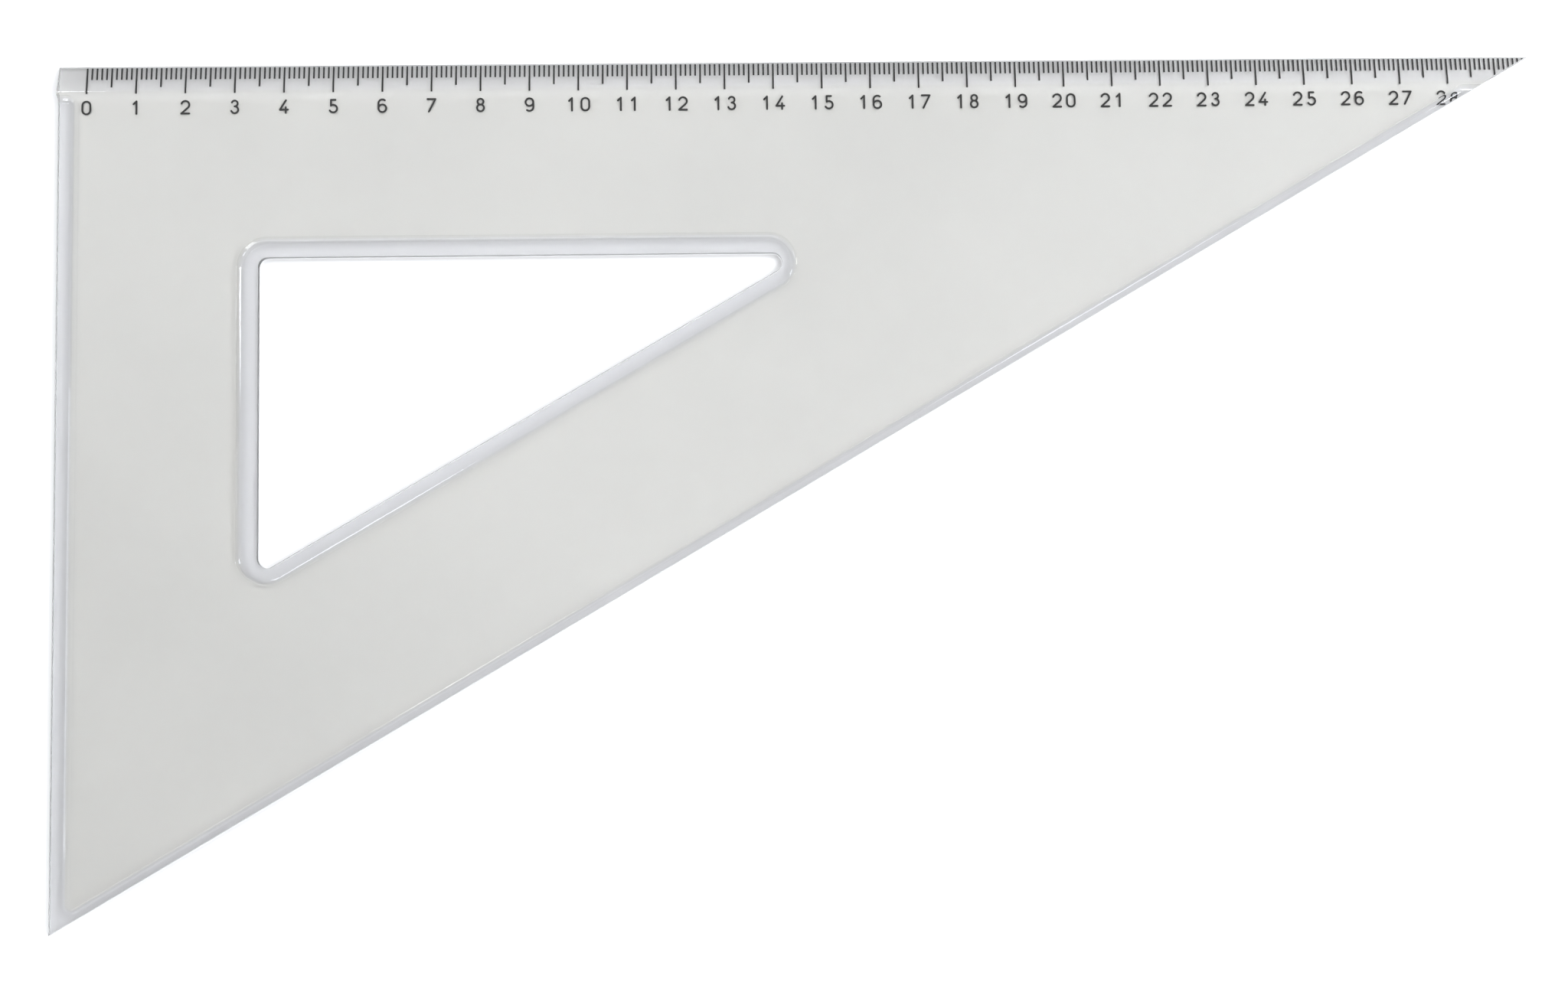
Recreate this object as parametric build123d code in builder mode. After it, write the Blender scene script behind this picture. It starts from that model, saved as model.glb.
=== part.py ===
from build123d import *
import os
from math import acos, atan, atan2, cos, degrees, radians, sin, tan

# Drafting triangle of clear plastic, lying on its printed underside.
# Millimetres. The origin is the right-angle corner on the resting plane, +X runs along
# the scale edge to the tip, -Y runs down the short leg and +Z points up.

# Plate
long_leg = 302.5  # scale edge, from the right-angle corner to the tip
tip_angle = 30.0  # degrees
plate_thickness = 2.2

# Bevel along the scale edge
bevel_width = 5.3
scale_edge_thickness = 0.8
ridge_blend = 0.5  # reach of the rounding on each side of the bevel's ridge
land_width = 0.2  # flat strip between that rounding and the ends of the rebates

# Rebates along the short leg and the hypotenuse
short_leg_rebate_width = 3.7
hypotenuse_rebate_width = 2.2
rebate_depth = 1.0
foot_corner_radius = 0.3  # inside corners, at the foot of the cove
nose_corner_radius = 0.8  # outside corner, at the edge of the raised face

# Steps of the rebates and the rim, each a slope between a wide cove and a small crown
step_slope = 68.0  # degrees
cove_share = 1.4  # radii, as shares of a step's depth
crown_share = 0.12

# Cut-out and its rim
scale_side_width = 39.6  # from the scale edge to the cut-out
short_side_width = 40.5  # from the short leg to the cut-out
hypotenuse_side_width = 40.8  # from the hypotenuse to the cut-out
cutout_corner_radius = 2.0
rim_width = 4.1  # along the scale side and the short side
hypotenuse_rim_width = 3.6
rim_depth = 1.0

# Stamped scale on the underside
ink_depth = 0.05
print_margin = 0.15  # bare strip between the ink and the edges of the plate
zero_offset = 5.5  # from the short leg to the zero mark
mark_pitch = 1.0
mark_width = 0.35
millimetre_length = 2.7
half_centimetre_length = 4.35
centimetre_length = 5.5
mark_tip_gap = 0.6  # least distance from the last mark to the tip
marks_per_half = 5
marks_per_centimetre = 10

# Numerals, drawn with a round pen
numeral_height = 3.0
numeral_width = 2.0
numeral_pitch = 2.85
numeral_drop = 8.4  # from the scale edge to the middle of the numerals
numeral_tip_gap = 15.0  # least distance from the last numbered mark to the tip
pen_width = 0.4
large_bowl_share = 0.6  # radii, as shares of the pen's half height
lower_bowl_share = 0.54
bowl_start = 160.0  # degrees, the open end of a bowl
five_start = 125.0
five_sweep = 275.0
hook_start = 50.0

# Points of the straight digits, as shares of the pen's half width and half height
one_shares = [(-0.6, 0.55), (0.15, 1), (0.15, -1)]
four_shares = [(0.5, 1), (-1, -0.5), (1, -0.5)]
four_stem_shares = [(0.45, -0.1), (0.45, -1)]
seven_shares = [(-1, 1), (1, 1), (-0.65, -1)]

overrun = 1.0  # by which cuts run past the faces that they open

# Derived sizes
slope = radians(tip_angle)
short_leg = long_leg * tan(slope)
bevel_angle = atan((plate_thickness - scale_edge_thickness) / bevel_width)
tongue_height = plate_thickness - rebate_depth
rebate_end = bevel_width + ridge_blend + land_width
rim_floor = plate_thickness - rim_depth
step_angle = radians(step_slope)
slope_share = 1 / tan(step_angle)  # run of a step's slope for each unit of depth
turn_share = tan(step_angle / 2)  # reach of a rounding for each unit of its radius
step_run_share = slope_share + crown_share * turn_share  # from the slope's foot to the raised face
cove_reach_share = cove_share * turn_share  # from the slope's foot to the flat of the floor
rebate_run = rebate_depth * step_run_share
rim_run = rim_depth * step_run_share
half_height = (numeral_height - pen_width) / 2
half_width = (numeral_width - pen_width) / 2
large_bowl = half_height * large_bowl_share
lower_bowl = half_height * lower_bowl_share
upper_bowl = half_height - lower_bowl
bowl_sweep = bowl_start + 90  # from the open end to where two bowls meet
centimetre = mark_pitch * marks_per_centimetre


# Height on a line that runs inside the hypotenuse, at a place along the scale edge
def slant_height(along, inset):
    return ((along - long_leg) * sin(slope) + inset) / cos(slope)


# Place along the scale edge of a point on such a line, at a height
def slant_place(height, inset):
    return long_leg + (height * cos(slope) - inset) / sin(slope)


# Corners of a triangle inside the outline: right angle, tip and low corner
def inset_corners(scale_inset, short_inset, slant_inset):
    return [
        (short_inset, -scale_inset),
        (slant_place(-scale_inset, slant_inset), -scale_inset),
        (short_inset, slant_height(short_inset, slant_inset)),
    ]


# Pen stroke along straight runs
def straight_stroke(point_shares):
    with BuildLine(mode=Mode.PRIVATE) as path:
        Polyline(*[(across * half_width, up * half_height) for across, up in point_shares])
    SlotArc(path.wire(), pen_width)


# Pen stroke along part of a circle
def arc_stroke(centre, radius, start_angle, sweep_angle):
    with BuildLine(mode=Mode.PRIVATE) as path:
        CenterArc(centre, radius, start_angle, sweep_angle)
    SlotArc(path.wire(), pen_width)


# Pen stroke round a whole circle
def ring_stroke(centre, radius):
    with Locations(centre):
        Circle(radius + pen_width / 2)
        Circle(radius - pen_width / 2, mode=Mode.SUBTRACT)


def draw_zero():
    SlotOverall(numeral_height, numeral_width, rotation=90)
    SlotOverall(
        numeral_height - 2 * pen_width, numeral_width - 2 * pen_width, rotation=90, mode=Mode.SUBTRACT
    )


def draw_one():
    straight_stroke(one_shares)


def draw_two():
    centre = Vector(0, half_height - half_width)
    heel = Vector(-half_width, -half_height)
    to_heel = heel - centre
    leave_angle = degrees(atan2(to_heel.Y, to_heel.X) + acos(half_width / to_heel.length))
    with BuildLine(mode=Mode.PRIVATE) as path:
        bowl = CenterArc(centre, half_width, bowl_start, leave_angle - bowl_start)
        Polyline(bowl @ 1, heel, (half_width, -half_height))
    SlotArc(path.wire(), pen_width)


def draw_three():
    arc_stroke((0, half_height - upper_bowl), upper_bowl, bowl_start, -bowl_sweep)
    arc_stroke((0, lower_bowl - half_height), lower_bowl, 90, -bowl_sweep)


def draw_four():
    straight_stroke(four_shares)
    straight_stroke(four_stem_shares)


def draw_five():
    with BuildLine(mode=Mode.PRIVATE) as path:
        bowl = CenterArc((0, large_bowl - half_height), large_bowl, five_start, -five_sweep)
        neck = bowl @ 0
        Polyline(neck, (neck.X, half_height), (-neck.X, half_height))
    SlotArc(path.wire(), pen_width)


def draw_six():
    ring_stroke((0, large_bowl - half_height), large_bowl)
    with BuildLine(mode=Mode.PRIVATE) as path:
        hook = CenterArc((0, half_height - large_bowl), large_bowl, hook_start, 180 - hook_start)
        Line(hook @ 1, (-large_bowl, large_bowl - half_height))
    SlotArc(path.wire(), pen_width)


def draw_seven():
    straight_stroke(seven_shares)


def draw_eight():
    ring_stroke((0, half_height - upper_bowl), upper_bowl)
    ring_stroke((0, lower_bowl - half_height), lower_bowl)


def draw_nine():
    add(digits[6], rotation=180)


# Digits, each about its own middle
digits = []
digit_drawings = [
    draw_zero,
    draw_one,
    draw_two,
    draw_three,
    draw_four,
    draw_five,
    draw_six,
    draw_seven,
    draw_eight,
    draw_nine,
]
for draw_digit in digit_drawings:
    with BuildSketch() as digit:
        draw_digit()
    digits.append(digit.sketch)

# Outline of the plate, and the area inside it that takes ink
with BuildSketch() as outline:
    with BuildLine():
        Polyline(*inset_corners(0, 0, 0), close=True)
    make_face()

with BuildSketch() as print_area:
    with BuildLine():
        Polyline(*inset_corners(print_margin, print_margin, print_margin), close=True)
    make_face()

# Marks of the scale, sorted by length
mark_steps = range(int((long_leg - zero_offset - mark_tip_gap) / mark_pitch) + 1)
centimetre_steps = [step for step in mark_steps if step % marks_per_centimetre == 0]
half_steps = [step for step in mark_steps if step % marks_per_centimetre == marks_per_half]
millimetre_steps = [step for step in mark_steps if step % marks_per_half != 0]


# Marks of one length, cut off where they meet the edge of the printed area
def draw_marks(steps, length):
    with Locations(*[(zero_offset + step * mark_pitch, 0) for step in steps]):
        Rectangle(mark_width, length, align=(Align.CENTER, Align.MAX))
    add(print_area.sketch, mode=Mode.INTERSECT)


with BuildSketch() as centimetre_print:
    draw_marks(centimetre_steps, centimetre_length)

with BuildSketch() as half_centimetre_print:
    draw_marks(half_steps, half_centimetre_length)

with BuildSketch() as millimetre_print:
    draw_marks(millimetre_steps, millimetre_length)

# Numerals under the centimetre marks
last_numeral = int((long_leg - zero_offset - numeral_tip_gap) / centimetre)
numeral_prints = []
for number in range(last_numeral + 1):
    characters = str(number)
    first_place = zero_offset + number * centimetre - (len(characters) - 1) * numeral_pitch / 2
    with BuildSketch() as numeral_print:
        for place, character in enumerate(characters):
            with Locations((first_place + place * numeral_pitch, -numeral_drop)):
                add(digits[int(character)])
        add(print_area.sketch, mode=Mode.INTERSECT)
    numeral_prints.append(numeral_print.sketch)

# All the printed shapes together
mark_prints = [centimetre_print.sketch, half_centimetre_print.sketch, millimetre_print.sketch]
stamped_faces = []
for printed_shape in mark_prints + numeral_prints:
    stamped_faces.extend(printed_shape.faces())


# Plane across a line at its start, with its X pointing to the left of the line
def plane_across(line):
    return Plane(origin=line @ 0, x_dir=Vector(0, 0, 1).cross(line % 0), z_dir=line % 0)


# Cut that leaves a step with a cove, a slope and a crown, in a plane across the foot of the slope
def draw_step(depth):
    crown_start = depth * (slope_share - crown_share * turn_share * cos(step_angle))
    crown_height = depth * (1 - crown_share * turn_share * sin(step_angle))
    crown_end = depth * step_run_share
    cove_start = -depth * cove_reach_share
    open_side = cove_start - foot_corner_radius / 2  # overlaps the cut of the flat floor
    with BuildLine(mode=Mode.PRIVATE) as cut:
        cove = TangentArc(
            (cove_start, 0),
            (-cove_start * cos(step_angle), -cove_start * sin(step_angle)),
            tangent=(1, 0),
        )
        crown = TangentArc((crown_end, depth), (crown_start, crown_height), tangent=(-1, 0))
        Line(cove @ 1, crown @ 1)
        Polyline(
            crown @ 0,
            (crown_end, depth + overrun),
            (open_side, depth + overrun),
            (open_side, 0),
            cove @ 0,
        )
    make_face(cut.edges())


# Line round the cut-out's rim, at a distance in from the edge of the raised face
def draw_rim_line(inward):
    reach = rim_width - inward
    hypotenuse_reach = hypotenuse_rim_width - inward
    corners = inset_corners(
        scale_side_width - reach, short_side_width - reach, hypotenuse_side_width - hypotenuse_reach
    )
    return FilletPolyline(*corners, radius=cutout_corner_radius + reach, close=True)


# Line along both rebates, at a distance out from the edge of the raised face
def draw_rebate_line(out):
    end_inset = rebate_end + out
    corners = inset_corners(end_inset, short_leg_rebate_width - out, hypotenuse_rebate_width - out)
    end_radius = rebate_depth * (step_run_share + cove_reach_share) + foot_corner_radius - out
    return FilletPolyline(
        (-overrun, -end_inset),
        corners[0],
        corners[2],
        corners[1],
        (long_leg, -end_inset),
        radius=[end_radius, nose_corner_radius + out, end_radius],
    )


# Clear plate
with BuildPart() as plate:
    add(outline.sketch)
    extrude(amount=plate_thickness)

    # Recess round the cut-out
    with BuildLine(Plane.XY.offset(rim_floor)) as rim_line:
        draw_rim_line(rim_run)
    with BuildSketch(plane_across(rim_line.wire())):
        draw_step(rim_depth)
    sweep(mode=Mode.SUBTRACT)
    with BuildSketch(Plane.XY.offset(rim_floor)):
        with BuildLine():
            draw_rim_line(rim_run + rim_depth * cove_reach_share)
        make_face()
    extrude(amount=rim_depth + overrun, mode=Mode.SUBTRACT)

    # Cut-out
    with BuildSketch():
        with BuildLine():
            Polyline(*inset_corners(scale_side_width, short_side_width, hypotenuse_side_width), close=True)
        cutout_face = make_face()
        fillet(cutout_face.vertices(), cutout_corner_radius)
    extrude(amount=plate_thickness, mode=Mode.SUBTRACT)

    # Rebates, open to the short leg and the hypotenuse and stopped short of the bevel
    with BuildLine(Plane.XY.offset(tongue_height)) as rebate_line:
        draw_rebate_line(rebate_run)
    with BuildSketch(plane_across(rebate_line.wire())):
        draw_step(rebate_depth)
    sweep(mode=Mode.SUBTRACT)
    with BuildSketch(Plane.XY.offset(tongue_height)):
        with BuildLine():
            edge = draw_rebate_line(rebate_run + rebate_depth * cove_reach_share)
            Polyline(edge @ 1, (long_leg, -short_leg - overrun), (-overrun, -short_leg - overrun), edge @ 0)
        make_face()
    extrude(amount=rebate_depth + overrun, mode=Mode.SUBTRACT)

    # Bevel along the scale edge, with its ridge rounded
    ridge = Vector(-bevel_width, plate_thickness)
    down_bevel = Vector(cos(bevel_angle), -sin(bevel_angle))
    with BuildSketch(Plane.YZ.offset(-overrun)):
        with BuildLine():
            rounding = TangentArc(ridge - (ridge_blend, 0), ridge + down_bevel * ridge_blend, tangent=(1, 0))
            Polyline(
                rounding @ 1,
                (overrun, scale_edge_thickness - overrun * tan(bevel_angle)),
                (overrun, plate_thickness + overrun),
                (ridge.X - ridge_blend, plate_thickness + overrun),
                rounding @ 0,
            )
        make_face()
    extrude(amount=long_leg + 2 * overrun, mode=Mode.SUBTRACT)

    # Stamped recesses that hold the ink, flush with the underside
    extrude(stamped_faces, amount=ink_depth, mode=Mode.SUBTRACT)

# Ink of the marks, one group of separate marks for each length
with BuildPart() as centimetre_marks:
    extrude(centimetre_print.sketch, amount=ink_depth)

with BuildPart() as half_centimetre_marks:
    extrude(half_centimetre_print.sketch, amount=ink_depth)

with BuildPart() as millimetre_marks:
    extrude(millimetre_print.sketch, amount=ink_depth)

# One STEP file for each piece
os.makedirs("parts", exist_ok=True)

plate.part.label = "plate"
export_step(plate.part, "parts/plate.step")
centimetre_marks.part.label = "centimetre_marks"
export_step(centimetre_marks.part, "parts/centimetre_marks.step")
half_centimetre_marks.part.label = "half_centimetre_marks"
export_step(half_centimetre_marks.part, "parts/half_centimetre_marks.step")
millimetre_marks.part.label = "millimetre_marks"
export_step(millimetre_marks.part, "parts/millimetre_marks.step")

# Ink of the numerals
for number, numeral_sketch in enumerate(numeral_prints):
    with BuildPart() as numeral:
        extrude(numeral_sketch, amount=ink_depth)
    numeral.part.label = f"numeral_{number}"
    export_step(numeral.part, f"parts/numeral_{number}.step")
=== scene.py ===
from math import pi, radians

import bpy
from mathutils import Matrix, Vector


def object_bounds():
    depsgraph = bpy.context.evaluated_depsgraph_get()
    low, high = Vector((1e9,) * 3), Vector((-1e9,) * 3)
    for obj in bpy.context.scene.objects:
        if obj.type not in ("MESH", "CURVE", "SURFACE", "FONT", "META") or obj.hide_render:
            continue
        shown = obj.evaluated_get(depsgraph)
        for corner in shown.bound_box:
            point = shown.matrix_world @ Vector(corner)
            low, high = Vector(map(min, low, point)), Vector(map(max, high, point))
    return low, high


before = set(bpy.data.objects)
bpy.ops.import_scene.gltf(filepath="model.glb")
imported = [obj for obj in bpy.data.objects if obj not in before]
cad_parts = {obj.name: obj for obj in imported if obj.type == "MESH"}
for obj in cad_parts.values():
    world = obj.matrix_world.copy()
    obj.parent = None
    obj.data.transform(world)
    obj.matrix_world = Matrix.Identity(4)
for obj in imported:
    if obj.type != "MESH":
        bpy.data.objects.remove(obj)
cadLow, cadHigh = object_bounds()  # box of the solids, before anything is added
print("frame loaded:", len(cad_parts), "nodes")


# node helpers

gridStep = (200, 180)  # spacing of the nodes in the editor
mixPlaces = {"FLOAT": (2, 3, 0), "RGBA": (6, 7, 2)}  # sockets A, B and result, by what is mixed
noTint = (1, 1, 1, 1)


def addNode(tree, kind, across, down, **settings):
    node = tree.nodes.new(kind)
    node.location = (across * gridStep[0], -down * gridStep[1])
    for key, value in settings.items():
        setattr(node, key, value)
    return node


def setInputs(node, **values):
    for key, value in values.items():
        node.inputs[key.replace("_", " ")].default_value = value
    return node


def addMix(tree, kind, across, down, **settings):
    node = addNode(tree, "ShaderNodeMix", across, down, data_type=kind, **settings)
    first, second, result = mixPlaces[kind]
    return node.inputs[0], node.inputs[first], node.inputs[second], node.outputs[result]


def addSmoothRange(tree, across, down, low, high):
    node = addNode(tree, "ShaderNodeMapRange", across, down, interpolation_type="SMOOTHSTEP")
    return setInputs(node, From_Min=low, From_Max=high)


def startMaterial(name):
    material = bpy.data.materials.new(name)
    material.use_nodes = True
    tree = material.node_tree
    tree.nodes.clear()
    output = addNode(tree, "ShaderNodeOutputMaterial", 6, 0)
    shader = addNode(tree, "ShaderNodeBsdfPrincipled", 4, 0)
    tree.links.new(shader.outputs["BSDF"], output.inputs["Surface"])
    return material, tree, shader


def startGroup(name, inputs, outputs):
    group = bpy.data.node_groups.new(name, "ShaderNodeTree")
    for way, sockets in (("INPUT", inputs), ("OUTPUT", outputs)):
        for label, kind in sockets.items():
            group.interface.new_socket(name=label, in_out=way, socket_type=kind)
    start = addNode(group, "NodeGroupInput", -5, 0)
    end = addNode(group, "NodeGroupOutput", 5, 0)
    return group, start, end


def useGroup(tree, group, across, down, **values):
    node = addNode(tree, "ShaderNodeGroup", across, down, node_tree=group)
    return setInputs(node, **values)


# cloudy colour between two tones, for the plastic, the ink and the floor

cloudLook = {
    "patchDetail": 3.0,
    "patchRough": 0.55,
    "speckDetail": 2.0,
    "speckRough": 0.6,
    "darkBelow": 0.32,  # the noise's values that give the two pure tones
    "lightAbove": 0.68,
}


def buildCloudGroup(look):
    group, start, end = startGroup(
        "cloudyTone",
        {
            "Light Tone": "NodeSocketColor",
            "Dark Tone": "NodeSocketColor",
            "Patch Scale": "NodeSocketFloat",
            "Speck Scale": "NodeSocketFloat",
            "Speck Share": "NodeSocketFloat",
        },
        {"Tone": "NodeSocketColor", "Mask": "NodeSocketFloat"},
    )
    place = addNode(group, "ShaderNodeTexCoord", -5, 2)
    patches = setInputs(addNode(group, "ShaderNodeTexNoise", -3, 0),
                        Detail=look["patchDetail"], Roughness=look["patchRough"])
    specks = setInputs(addNode(group, "ShaderNodeTexNoise", -3, 2),
                       Detail=look["speckDetail"], Roughness=look["speckRough"])
    speckShare, patchNoise, speckNoise, noise = addMix(group, "FLOAT", -1, 1)
    spread = addSmoothRange(group, 1, 1, look["darkBelow"], look["lightAbove"])
    lightShare, darkTone, lightTone, tone = addMix(group, "RGBA", 3, 0)
    link = group.links.new
    link(place.outputs["Object"], patches.inputs["Vector"])
    link(place.outputs["Object"], specks.inputs["Vector"])
    link(start.outputs["Patch Scale"], patches.inputs["Scale"])
    link(start.outputs["Speck Scale"], specks.inputs["Scale"])
    link(start.outputs["Speck Share"], speckShare)
    link(patches.outputs["Fac"], patchNoise)
    link(specks.outputs["Fac"], speckNoise)
    link(noise, spread.inputs["Value"])
    link(spread.outputs["Result"], lightShare)
    link(start.outputs["Dark Tone"], darkTone)
    link(start.outputs["Light Tone"], lightTone)
    link(tone, end.inputs["Tone"])
    link(spread.outputs["Result"], end.inputs["Mask"])
    return group


def addCloud(tree, look):
    return useGroup(tree, cloudGroup, 0, 0, Light_Tone=look["lightTone"], Dark_Tone=look["darkTone"],
                    Patch_Scale=look["patchScale"], Speck_Scale=look["speckScale"],
                    Speck_Share=look["speckShare"])


# hairline scratches in two directions, for the plastic

scratchLook = {
    "turns": (24.0, -52.0),  # degrees
    "detail": 2.0,
    "rough": 0.5,
    "clearBelow": 0.66,  # the noise's values between which a line comes in
    "fullAbove": 0.74,
}


def buildScratchGroup(look):
    group, start, end = startGroup(
        "hairlineScratches",
        {"Line Scale": "NodeSocketFloat", "Stretch": "NodeSocketFloat", "Amount": "NodeSocketFloat"},
        {"Scratches": "NodeSocketFloat"},
    )
    place = addNode(group, "ShaderNodeTexCoord", -5, 2)
    both = addNode(group, "ShaderNodeMath", 1, 1, operation="MAXIMUM")
    scaled = addNode(group, "ShaderNodeMath", 3, 1, operation="MULTIPLY")
    link = group.links.new
    for layer, turn in enumerate(look["turns"]):
        row = layer * 2
        turned = setInputs(addNode(group, "ShaderNodeVectorRotate", -4, row, rotation_type="Z_AXIS"),
                           Angle=radians(turn))
        pull = setInputs(addNode(group, "ShaderNodeCombineXYZ", -4, row + 1), Y=1.0, Z=1.0)
        pulled = addNode(group, "ShaderNodeVectorMath", -3, row, operation="MULTIPLY")
        lines = setInputs(addNode(group, "ShaderNodeTexNoise", -2, row),
                          Detail=look["detail"], Roughness=look["rough"])
        thin = setInputs(addNode(group, "ShaderNodeMapRange", -1, row),
                         From_Min=look["clearBelow"], From_Max=look["fullAbove"])
        link(place.outputs["Object"], turned.inputs["Vector"])
        link(start.outputs["Stretch"], pull.inputs["X"])
        link(turned.outputs["Vector"], pulled.inputs[0])
        link(pull.outputs["Vector"], pulled.inputs[1])
        link(pulled.outputs["Vector"], lines.inputs["Vector"])
        link(start.outputs["Line Scale"], lines.inputs["Scale"])
        link(lines.outputs["Fac"], thin.inputs["Value"])
        link(thin.outputs["Result"], both.inputs[layer])
    link(both.outputs[0], scaled.inputs[0])
    link(start.outputs["Amount"], scaled.inputs[1])
    link(scaled.outputs[0], end.inputs["Scratches"])
    return group


cloudGroup = buildCloudGroup(cloudLook)
scratchGroup = buildScratchGroup(scratchLook)
print("node groups built")


# clear plate, with heights and edges in metres of the shared frame

plateLook = {
    "lightTone": (0.745, 0.745, 0.752, 1),
    "darkTone": (0.725, 0.725, 0.732, 1),
    "patchScale": 14.0,
    "speckScale": 160.0,
    "speckShare": 0.25,
    "absorbAndLightTint": (0.920, 0.910, 0.848, 1),  # darker and warmer where the plate is thick: partly the plastic's absorption, partly painted light that keeps the thin rims lighter and bluer
    "thinHeight": 0.0013,  # between these heights the thick tint, with its painted light, comes in
    "thickHeight": 0.0020,
    # painted shade: an even tint over the bevel, darker than its thin edge's own tone
    "bevelShadeTint": (0.960, 0.957, 0.945, 1),
    "bevelEdge": -0.0058,  # where the bevel's rounded ridge ends
    "bevelBlend": 0.0008,
    "ior": 1.49,
    "smooth": 0.02,  # roughness of the polished faces
    "scuffed": 0.05,  # roughness inside a scratch
    "lineScale": 1400.0,
    "lineStretch": 0.015,
    "lineAmount": 0.4,
    "wallRough": 0.45,  # roughness of the upright sides
    "leaning": 0.15,  # upward part of a face's normal where that roughness starts
    "upright": 0.05,  # and where it is full
    "waveScale": 22.0,
    "waveDetail": 1.0,
    "waveHeight": 0.00002,  # metres
    "scratchHeight": 0.0000008,
}


def makeClearPlastic(look):
    material, tree, shader = startMaterial("clearPlastic")
    link = tree.links.new
    place = addNode(tree, "ShaderNodeTexCoord", -2, 4)

    # colour by thickness: thin rims, thick face and the bevel between; partly the plastic's absorption,
    # partly painted light that lifts the thin rims
    cloud = addCloud(tree, look)
    height = addNode(tree, "ShaderNodeSeparateXYZ", -1, -2)
    thick = addSmoothRange(tree, 0, -2, look["thinHeight"], look["thickHeight"])
    # painted light: the thin rims stay lighter and bluer than the thick face
    thickAndLightShare, thinAbsorbAndLightTint, thickAbsorbAndLightTint, absorbAndLightTint = addMix(tree, "RGBA", 1, -2)
    # painted shade across the bevel, from its edge to the end of its ridge
    bevelShadeMask = addSmoothRange(tree, 0, -4, look["bevelEdge"], look["bevelEdge"] + look["bevelBlend"])
    bevelShadeShare, besideBevel, bevelShadeTint, tint = addMix(tree, "RGBA", 2, -3)
    tintShare, cloudTone, toneTint, tone = addMix(tree, "RGBA", 2, -1, blend_type="MULTIPLY")
    thinAbsorbAndLightTint.default_value = noTint
    thickAbsorbAndLightTint.default_value = look["absorbAndLightTint"]
    bevelShadeTint.default_value = look["bevelShadeTint"]
    tintShare.default_value = 1.0
    link(place.outputs["Object"], height.inputs["Vector"])
    link(height.outputs["Z"], thick.inputs["Value"])
    link(thick.outputs["Result"], thickAndLightShare)
    link(height.outputs["Y"], bevelShadeMask.inputs["Value"])
    link(bevelShadeMask.outputs["Result"], bevelShadeShare)
    link(absorbAndLightTint, besideBevel)
    link(cloud.outputs["Tone"], cloudTone)
    link(tint, toneTint)
    link(tone, shader.inputs["Base Color"])

    # polished faces with a few scratches, and duller upright sides
    scratches = useGroup(tree, scratchGroup, 0, 2, Line_Scale=look["lineScale"],
                         Stretch=look["lineStretch"], Amount=look["lineAmount"])
    scuffs = setInputs(addNode(tree, "ShaderNodeMapRange", 1, 2),
                       To_Min=look["smooth"], To_Max=look["scuffed"])
    facing = addNode(tree, "ShaderNodeSeparateXYZ", -1, 6)
    level = addNode(tree, "ShaderNodeMath", 0, 6, operation="ABSOLUTE")
    wall = setInputs(addNode(tree, "ShaderNodeMapRange", 1, 6), From_Min=look["leaning"],
                     From_Max=look["upright"], To_Max=look["wallRough"])
    rough = addNode(tree, "ShaderNodeMath", 2, 2, operation="MAXIMUM")
    link(scratches.outputs["Scratches"], scuffs.inputs["Value"])
    link(place.outputs["Normal"], facing.inputs["Vector"])
    link(facing.outputs["Z"], level.inputs[0])
    link(level.outputs[0], wall.inputs["Value"])
    link(scuffs.outputs["Result"], rough.inputs[0])
    link(wall.outputs["Result"], rough.inputs[1])
    link(rough.outputs[0], shader.inputs["Roughness"])

    # faint waves of the moulding, and the depth of the scratches
    waves = setInputs(addNode(tree, "ShaderNodeTexNoise", 0, 4),
                      Scale=look["waveScale"], Detail=look["waveDetail"])
    waveBump = setInputs(addNode(tree, "ShaderNodeBump", 2, 4), Distance=look["waveHeight"])
    scratchBump = setInputs(addNode(tree, "ShaderNodeBump", 3, 3), Distance=look["scratchHeight"])
    link(place.outputs["Object"], waves.inputs["Vector"])
    link(waves.outputs["Fac"], waveBump.inputs["Height"])
    link(scratches.outputs["Scratches"], scratchBump.inputs["Height"])
    link(waveBump.outputs["Normal"], scratchBump.inputs["Normal"])
    link(scratchBump.outputs["Normal"], shader.inputs["Normal"])

    setInputs(shader, IOR=look["ior"], Transmission_Weight=1.0)
    return material


# stamped ink of the marks and numerals

inkLook = {
    "lightTone": (0.030, 0.029, 0.028, 1),
    "darkTone": (0.010, 0.010, 0.011, 1),
    "patchScale": 260.0,
    "speckScale": 2600.0,
    "speckShare": 0.5,
    "roughLow": 0.45,
    "roughHigh": 0.7,
    "grainHeight": 0.000006,  # metres
}


def makeStampedInk(look):
    material, tree, shader = startMaterial("stampedInk")
    cloud = addCloud(tree, look)
    rough = setInputs(addNode(tree, "ShaderNodeMapRange", 2, 1),
                      To_Min=look["roughLow"], To_Max=look["roughHigh"])
    grain = setInputs(addNode(tree, "ShaderNodeBump", 2, 3), Distance=look["grainHeight"])
    link = tree.links.new
    link(cloud.outputs["Tone"], shader.inputs["Base Color"])
    link(cloud.outputs["Mask"], rough.inputs["Value"])
    link(rough.outputs["Result"], shader.inputs["Roughness"])
    link(cloud.outputs["Mask"], grain.inputs["Height"])
    link(grain.outputs["Normal"], shader.inputs["Normal"])
    return material


clearPlastic = makeClearPlastic(plateLook)
stampedInk = makeStampedInk(inkLook)
for name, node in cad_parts.items():
    for slot in node.material_slots:
        slot.material = clearPlastic if name == "plate" else stampedInk
print("finishes placed")


# pale floor just under the plate

floorLook = {
    "size": 40.0,
    "gap": 0.0002,  # keeps the floor clear of the underside
    "lightTone": (0.90, 0.90, 0.90, 1),
    "darkTone": (0.885, 0.885, 0.885, 1),
    "patchScale": 3.0,
    "speckScale": 60.0,
    "speckShare": 0.3,
    "rough": 0.9,
}


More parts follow.
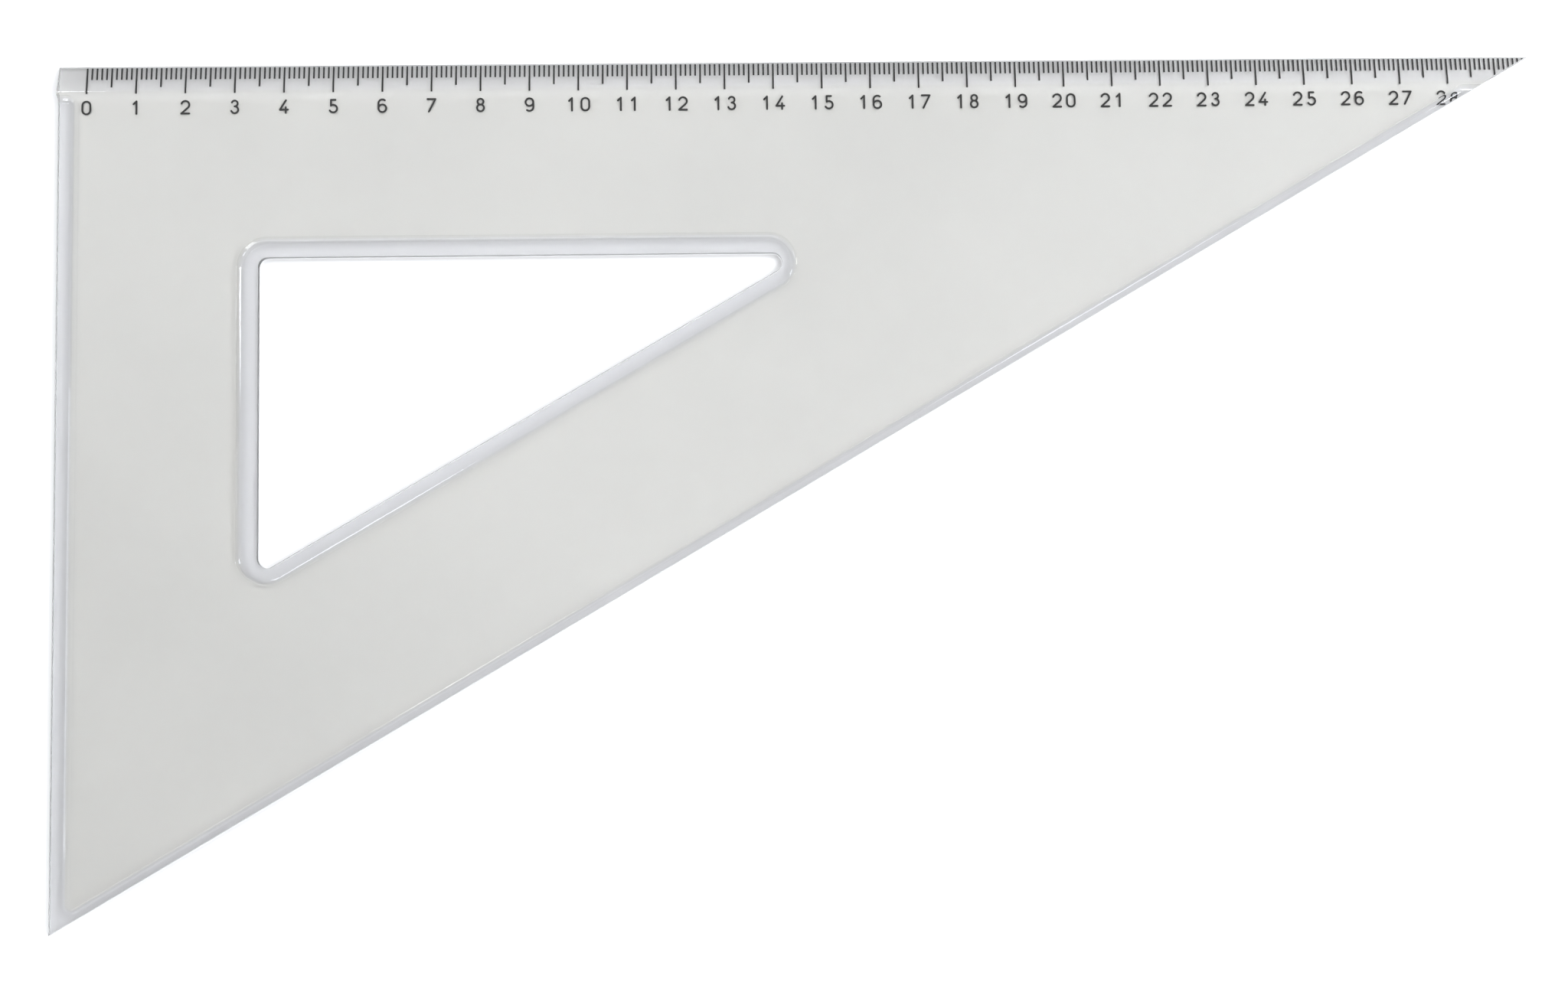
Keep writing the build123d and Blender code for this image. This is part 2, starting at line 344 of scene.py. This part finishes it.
def makeFloor(look):
    half = look["size"] / 2
    middle = (cadLow + cadHigh) / 2
    corners = [(-half, -half), (half, -half), (half, half), (-half, half)]
    points = [(middle.x + across, middle.y + along, -look["gap"]) for across, along in corners]
    mesh = bpy.data.meshes.new("floor")
    mesh.from_pydata(points, [], [range(len(points))])
    floor = bpy.data.objects.new("floor", mesh)
    bpy.context.scene.collection.objects.link(floor)
    material, tree, shader = startMaterial("paleFloor")
    cloud = addCloud(tree, look)
    tree.links.new(cloud.outputs["Tone"], shader.inputs["Base Color"])
    setInputs(shader, Roughness=look["rough"])
    mesh.materials.append(material)


makeFloor(floorLook)
print("floor placed")


# soft light from a pale sky and a few panels

skyLook = {
    "horizon": (0.22, 0.24, 0.28, 1),
    "dimTop": (0.28, 0.277, 0.265, 1),
    "brightTop": (2.25, 2.26, 2.28, 1),
    "topFrom": 0.8,  # height of the sky where the horizon's tone has gone
    "toward": (0.65, 0.76, 0.0),  # the side of the sky that is bright
    "dimBefore": -0.42,  # reach to that side where the top starts to brighten
    "brightAfter": 0.03,  # and where it is brightest
    "strength": 0.73,
}
panelLook = {
    "colour": (0.92, 0.955, 1.0),
    "aim": (0.13, -0.07, 0.0),
    "panels": [
        {"name": "rightPanel", "place": (0.80, 0.15, 0.55), "size": (0.15, 0.44), "glow": 16.0},
        {"name": "leftPanel", "place": (-0.44, 0.43, 0.64), "size": (0.15, 0.32), "glow": 11.0},
        {"name": "farLeftPanel", "place": (-0.75, -0.12, 0.20), "size": (0.30, 0.30), "glow": 2.5},
        {"name": "lowRightPanel", "place": (0.61, -0.35, 0.60), "size": (0.18, 0.24), "glow": 9.0},
        {"name": "lowPanel", "place": (0.10, -0.75, 0.55), "size": (0.80, 0.45), "glow": 1.6},
    ],
}


def makeSky(look):
    world = bpy.data.worlds.new("softSky")
    bpy.context.scene.world = world
    world.use_nodes = True
    tree = world.node_tree
    tree.nodes.clear()
    output = addNode(tree, "ShaderNodeOutputWorld", 4, 0)
    sky = setInputs(addNode(tree, "ShaderNodeBackground", 2, 0), Strength=look["strength"])
    place = addNode(tree, "ShaderNodeTexCoord", -4, 0)
    height = addNode(tree, "ShaderNodeSeparateXYZ", -3, 0)
    climb = addSmoothRange(tree, -2, 0, 0.0, look["topFrom"])
    reach = addNode(tree, "ShaderNodeVectorMath", -3, 2, operation="DOT_PRODUCT")
    side = addSmoothRange(tree, -2, 2, look["dimBefore"], look["brightAfter"])
    sideShare, dimTop, brightTop, top = addMix(tree, "RGBA", -1, 2)
    topShare, horizon, above, tone = addMix(tree, "RGBA", 0, 0)
    reach.inputs[1].default_value = look["toward"]
    dimTop.default_value = look["dimTop"]
    brightTop.default_value = look["brightTop"]
    horizon.default_value = look["horizon"]
    link = tree.links.new
    link(place.outputs["Generated"], height.inputs["Vector"])
    link(place.outputs["Generated"], reach.inputs[0])
    link(reach.outputs["Value"], side.inputs["Value"])
    link(side.outputs["Result"], sideShare)
    link(top, above)
    link(height.outputs["Z"], climb.inputs["Value"])
    link(climb.outputs["Result"], topShare)
    link(tone, sky.inputs["Color"])
    link(sky.outputs["Background"], output.inputs["Surface"])


def makePanel(panel, colour, aim):
    lamp = bpy.data.lights.new(panel["name"], "AREA")
    lamp.shape = "RECTANGLE"
    lamp.size, lamp.size_y = panel["size"]
    lamp.energy = panel["glow"] * pi * lamp.size * lamp.size_y  # the same glow at any size
    lamp.color = colour
    holder = bpy.data.objects.new(panel["name"], lamp)
    holder.location = panel["place"]
    facing = Vector(aim) - Vector(panel["place"])
    holder.rotation_euler = facing.to_track_quat("-Z", "Y").to_euler()
    bpy.context.scene.collection.objects.link(holder)


makeSky(skyLook)
for panel in panelLook["panels"]:
    makePanel(panel, panelLook["colour"], panelLook["aim"])
print("light placed")


# camera above the plate, as in the photograph

cameraLook = {
    "place": (0.13940, -0.10887, 0.330),
    "turn": (0.0592, -0.0208, -0.0143),  # radians
    "lens": 37.36,  # millimetres, as is the sensor
    "sensor": 36.0,
    "clipStart": 0.01,
}


def makeCamera(look):
    data = bpy.data.cameras.new("camera")
    data.sensor_fit = "HORIZONTAL"
    data.sensor_width = look["sensor"]
    data.lens = look["lens"]
    data.clip_start = look["clipStart"]
    camera = bpy.data.objects.new("camera", data)
    camera.location = look["place"]
    camera.rotation_euler = look["turn"]
    bpy.context.scene.collection.objects.link(camera)
    bpy.context.scene.camera = camera


makeCamera(cameraLook)
bpy.context.scene.view_settings.view_transform = "Standard"
bpy.context.scene.cycles.blur_glossy = 0.0  # keeps the plate clear for the light that reaches the floor
print("camera placed")
